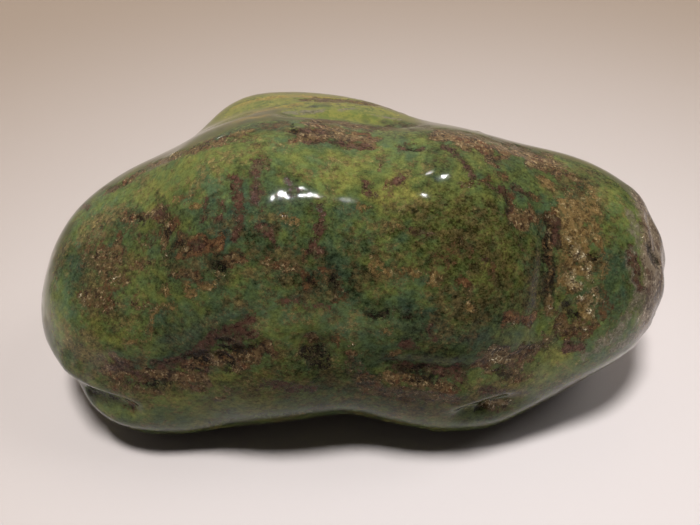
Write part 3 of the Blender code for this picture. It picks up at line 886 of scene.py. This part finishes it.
def jade_grain_group():
    """Mossy jade, from bluish through green to yellowish, with brown, gold and dark grains in it."""
    takes = {"Place": "Vector", "Olive": "Float", "Teal": "Float", "Pale": "Float", "Deep": "Float",
             "Brown": "Float"}
    tree, taken, given = new_group("jade grain", takes, {"Color": "Color", "Height": "Float"})
    place = drawn_out(tree, taken["Place"], JADE_RUN_TURN, JADE_GRAIN_RUN)
    lean = sums(tree, "MULTIPLY", sums(tree, "SUBTRACT", taken["Olive"], taken["Teal"]), JADE_LEAN)
    colour = banded(tree, swings(tree, place, lean, JADE_DRIFTS), JADE_HUES)
    clusters = mottle(tree, place, *CLUSTERS)
    flecks = sums(tree, "MULTIPLY_ADD", clusters, FLECK_CLUSTERS, mottle(tree, place, *FLECKS))
    flecks = sums(tree, "MULTIPLY_ADD", taken["Brown"], FLECK_ZONES, flecks)
    earth = mixed(tree, stepped(tree, mottle(tree, place, *FLECK_TINTS), *TINT_EDGES), *JADE_BROWN)
    fleck_share = sums(tree, "MULTIPLY", stepped(tree, flecks, *FLECK_EDGES), FLECK_SHARE)
    colour = mixed(tree, fleck_share, colour, earth)
    gilt = sums(tree, "MULTIPLY_ADD", clusters, GILT_CLUSTERS, mottle(tree, place, *GILT))
    gilt_share = sums(tree, "MULTIPLY", stepped(tree, gilt, *GILT_EDGES), GILT_SHARE)
    colour = mixed(tree, gilt_share, colour, JADE_GOLD)
    light = swings(tree, place, 1.0, JADE_SHADES)
    light = sums(tree, "MULTIPLY_ADD", taken["Pale"], JADE_PALER, light)
    light = sums(tree, "MULTIPLY_ADD", taken["Deep"], -JADE_DEEPER, light)
    feed(tree, given["Color"], dimmed(tree, colour, sums(tree, "MAXIMUM", light, JADE_LEAST)))
    feed(tree, given["Height"], mottle(tree, place, *JADE_SWELLS))
    return tree


def stepped_line(tree, value, start, full):
    """0 below start, 1 above full, and a straight line between them."""
    node = tree.nodes.new("ShaderNodeMapRange")
    for socket, number in zip(node.inputs, (value, start, full, 0.0, 1.0)):
        feed(tree, socket, number)
    return node.outputs[0]


def field(tree, name):
    node = tree.nodes.new("ShaderNodeAttribute")
    node.attribute_name = name
    return node.outputs["Fac"]


def grained(tree, grain, kind, place):
    """The colour and height of one kind of stone."""
    dark, middle, light, strange = GRAINS[kind]
    return placed(tree, grain, Place=place, Grain=GRAIN_SIZES[kind], Dark=dark, Middle=middle,
                  Light=light, Strange=strange)


def jade():
    """The stone's finish: polished jade under ragged marks of matrix, and rind at its nose."""
    material = bpy.data.materials.new("polished jade and matrix")
    material.use_nodes = True
    tree = material.node_tree
    shader = tree.nodes["Principled BSDF"]
    shader.inputs["Specular IOR Level"].default_value = SHEEN
    coordinates = tree.nodes.new("ShaderNodeTexCoord")
    scale = tree.nodes.new("ShaderNodeVectorMath")
    scale.operation = "SCALE"
    feed(tree, scale.inputs[0], coordinates.outputs["Object"])
    scale.inputs["Scale"].default_value = 1 / MM
    place = scale.outputs[0]
    patch, grain = ragged_patch_group(), mineral_grain_group()

    zones = {kind.title(): stepped(tree, field(tree, kind), *ZONE_EDGES) for kind in JADE_ZONES}
    body = placed(tree, jade_grain_group(), Place=place, **zones)
    hump = stepped(tree, field(tree, "hump"), *HUMP_EDGES)
    colour = mixed(tree, hump, body["Color"], grained(tree, grain, "hump", place)["Color"])
    for kind, share in STREAK_SHARES.items():
        streak = placed(tree, patch, Where=field(tree, kind), Place=place, **PATCHES[kind])["Mask"]
        streak = sums(tree, "MULTIPLY", streak, share)
        colour = mixed(tree, streak, colour, grained(tree, grain, kind, place)["Color"])

    height = sums(tree, "MULTIPLY", body["Height"], JADE_BUMP)
    rough = sums(tree, "MULTIPLY", mottle(tree, place, *GLOSS_DRIFT), JADE_ROUGHNESS)
    rough = sums(tree, "ADD", rough, JADE_ROUGHNESS)
    rind = stepped_line(tree, parted(tree, place)[0], RIND_START, RIND_FULL)
    rind = sums(tree, "MULTIPLY_ADD", rind, 2 * RIND_REACH, -RIND_REACH)
    masks = {"rind": placed(tree, patch, Where=rind, Place=place, **PATCHES["rind"])["Mask"]}
    for kind in MARK_LAYERS:
        mark = placed(tree, patch, Where=field(tree, kind), Place=place, **PATCHES["mark"])
        masks[kind] = mark["Mask"]
    for kind, mask in masks.items():
        grains = grained(tree, grain, kind, place)
        # Pale zones lighten the marks as well, which on the rims is painted reflection
        paler = sums(tree, "MULTIPLY_ADD", zones["Pale"], MATRIX_PALER, 1.0)
        colour = mixed(tree, mask, colour, dimmed(tree, grains["Color"], paler))
        roughened = sums(tree, "MULTIPLY", grains["Height"], MATRIX_BUMP)
        height = sums(tree, "ADD", height, sums(tree, "MULTIPLY", roughened, mask))
        rough = sums(tree, "MULTIPLY_ADD", mask, MATRIX_ROUGHER, rough)
    over_floor = parted(tree, place)[2]
    # Painted shade: the jade's colour is darkened where it turns under, near the floor
    painted_base_shade = sums(tree, "MULTIPLY", stepped(tree, over_floor, *BASE_SHADE_TOP),
               stepped(tree, over_floor, *BASE_SHADE_FOOT))
    colour = dimmed(tree, colour, sums(tree, "MULTIPLY_ADD", painted_base_shade, -BASE_SHADE_DEPTH, 1.0))
    feed(tree, shader.inputs["Base Color"], colour)
    feed(tree, shader.inputs["Roughness"], rough)
    glossy = stepped(tree, field(tree, "glossy"), *ZONE_EDGES)
    feed(tree, shader.inputs["Coat Weight"], sums(tree, "MULTIPLY", glossy, RIM_COAT))
    bump = tree.nodes.new("ShaderNodeBump")
    bump.inputs["Distance"].default_value = MM
    feed(tree, bump.inputs["Height"], height)
    feed(tree, shader.inputs["Normal"], bump.outputs[0])
    return material


def make_camera():
    right, up, back = camera_axes()
    camera = bpy.data.cameras.new("camera")
    camera.lens, camera.sensor_width = LENS, SENSOR
    camera.clip_start, camera.clip_end = CAMERA_SEES
    holder = bpy.data.objects.new("camera", camera)
    facing = Matrix((right, up, back)).transposed().to_4x4()
    holder.matrix_world = Matrix.Translation(camera_place() * MM) @ facing
    bpy.context.scene.collection.objects.link(holder)
    bpy.context.scene.camera = holder


def facing_from(direction):
    """The turn that makes a lamp shine from this direction onto the middle."""
    return Vector(direction).to_track_quat("Z", "X").to_matrix().to_4x4()


def add_lamp(lamp, place, direction):
    holder = bpy.data.objects.new(lamp.name, lamp)
    holder.matrix_world = Matrix.Translation(place) @ facing_from(direction)
    bpy.context.scene.collection.objects.link(holder)
    return holder


def make_lamps():
    for direction, strength, spread in LAMPS:
        sun = bpy.data.lights.new("room lamp", "SUN")
        sun.energy, sun.angle = strength, np.radians(spread)
        add_lamp(sun, Vector((0, 0, 1)), direction).visible_glossy = False


def make_glints(skin, places, facings):
    """Narrow lamps, each set where the camera sees it mirrored in the polish at its pixel."""
    for pixel, power, radius in GLINTS:
        spot = from_photo(skin, [pixel])[0]
        near = np.linalg.norm(places - spot, axis=1) < GLINT_LEVEL
        facing = facings[near].sum(axis=0)
        facing /= np.linalg.norm(facing)
        view = camera_place() - spot
        view /= np.linalg.norm(view)
        mirrored = 2 * (view @ facing) * facing - view
        glint = bpy.data.lights.new("glint", "SPOT")
        glint.energy, glint.shadow_soft_size = power, radius
        glint.spot_size, glint.spot_blend = np.radians(GLINT_CONE), GLINT_SOFTNESS
        lamp = add_lamp(glint, Vector(spot * MM + mirrored * GLINT_DISTANCE), mirrored)
        lamp.visible_diffuse = False


def make_side_gleams():
    for aim, direction, power, cone in SIDE_GLEAMS:
        gleam = bpy.data.lights.new("side gleam", "SPOT")
        gleam.energy, gleam.shadow_soft_size = power, SIDE_GLEAM_RADIUS
        gleam.spot_size, gleam.spot_blend = np.radians(cone), SIDE_GLEAM_SOFTNESS
        direction = Vector(direction).normalized()
        lamp = add_lamp(gleam, Vector(aim) * MM + direction * SIDE_GLEAM_DISTANCE, direction)
        lamp.visible_diffuse = False


def make_world():
    """Pale where the camera sees it, and dim as a light."""
    world = bpy.data.worlds.new("pale room")
    bpy.context.scene.world = world
    world.use_nodes = True
    tree = world.node_tree
    tree.nodes.clear()
    coordinates = tree.nodes.new("ShaderNodeTexCoord")
    glow = WORLD_LIGHT
    for direction, light, edges in GLOWS:
        nearness = tree.nodes.new("ShaderNodeVectorMath")
        nearness.operation = "DOT_PRODUCT"
        feed(tree, nearness.inputs[0], coordinates.outputs["Generated"])
        nearness.inputs[1].default_value = Vector(direction).normalized()
        glow = mixed(tree, stepped(tree, nearness.outputs["Value"], *edges), glow, light)
    backgrounds = []
    for colour in (glow, WORLD_SEEN):
        background = tree.nodes.new("ShaderNodeBackground")
        feed(tree, background.inputs[0], colour)
        backgrounds.append(background.outputs[0])
    choice = tree.nodes.new("ShaderNodeMixShader")
    path = tree.nodes.new("ShaderNodeLightPath")
    tree.links.new(path.outputs["Is Camera Ray"], choice.inputs[0])
    tree.links.new(backgrounds[0], choice.inputs[1])
    tree.links.new(backgrounds[1], choice.inputs[2])
    out = tree.nodes.new("ShaderNodeOutputWorld")
    tree.links.new(choice.outputs[0], out.inputs[0])


def gap_from(tree, place, middle, reach):
    """How far a place lies from the middle over the floor, in reaches along X and Y."""
    squares = []
    for value, start, unit in zip(parted(tree, place), middle, reach):
        offset = sums(tree, "DIVIDE", sums(tree, "SUBTRACT", value, start), unit)
        squares.append(sums(tree, "MULTIPLY", offset, offset))
    return sums(tree, "SQRT", sums(tree, "ADD", *squares))


def make_floor():
    mesh = bpy.data.meshes.new("floor")
    side = FLOOR_HALF_SIDE
    corners = [(-side, -side, 0), (side, -side, 0), (side, side, 0), (-side, side, 0)]
    mesh.from_pydata(corners, [], [(0, 1, 2, 3)])
    material = bpy.data.materials.new("pale floor")
    material.use_nodes = True
    tree = material.node_tree
    shader = tree.nodes["Principled BSDF"]
    shader.inputs["Roughness"].default_value = FLOOR_ROUGHNESS
    shader.inputs["Specular IOR Level"].default_value = FLOOR_SHEEN
    coordinates = tree.nodes.new("ShaderNodeTexCoord")
    place = coordinates.outputs["Object"]
    # Painted light: a bright pool round the middle, darkening outward
    pool = stepped(tree, gap_from(tree, place, FLOOR_POOL, (1, 1)), *FLOOR_SHADE)
    colour = mixed(tree, pool, FLOOR_NEAR, FLOOR_FAR)
    # Painted shadow on the floor, which only glossy rays see
    spot = stepped(tree, gap_from(tree, place, MIRRORED_SPOT, MIRRORED_REACH), *MIRRORED_EDGES)
    mirrored = tree.nodes.new("ShaderNodeLightPath").outputs["Is Glossy Ray"]
    colour = mixed(tree, sums(tree, "MULTIPLY", spot, mirrored), colour, FLOOR_MIRRORED)
    feed(tree, shader.inputs["Base Color"], colour)
    mesh.materials.append(material)
    floor = bpy.data.objects.new("floor", mesh)
    bpy.context.scene.collection.objects.link(floor)


bpy.context.scene.view_settings.view_transform = "Standard"
make_camera()
stone = make_stone()
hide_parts("boulder")
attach(stone, "root")
make_floor()
make_lamps()
make_side_gleams()
make_world()
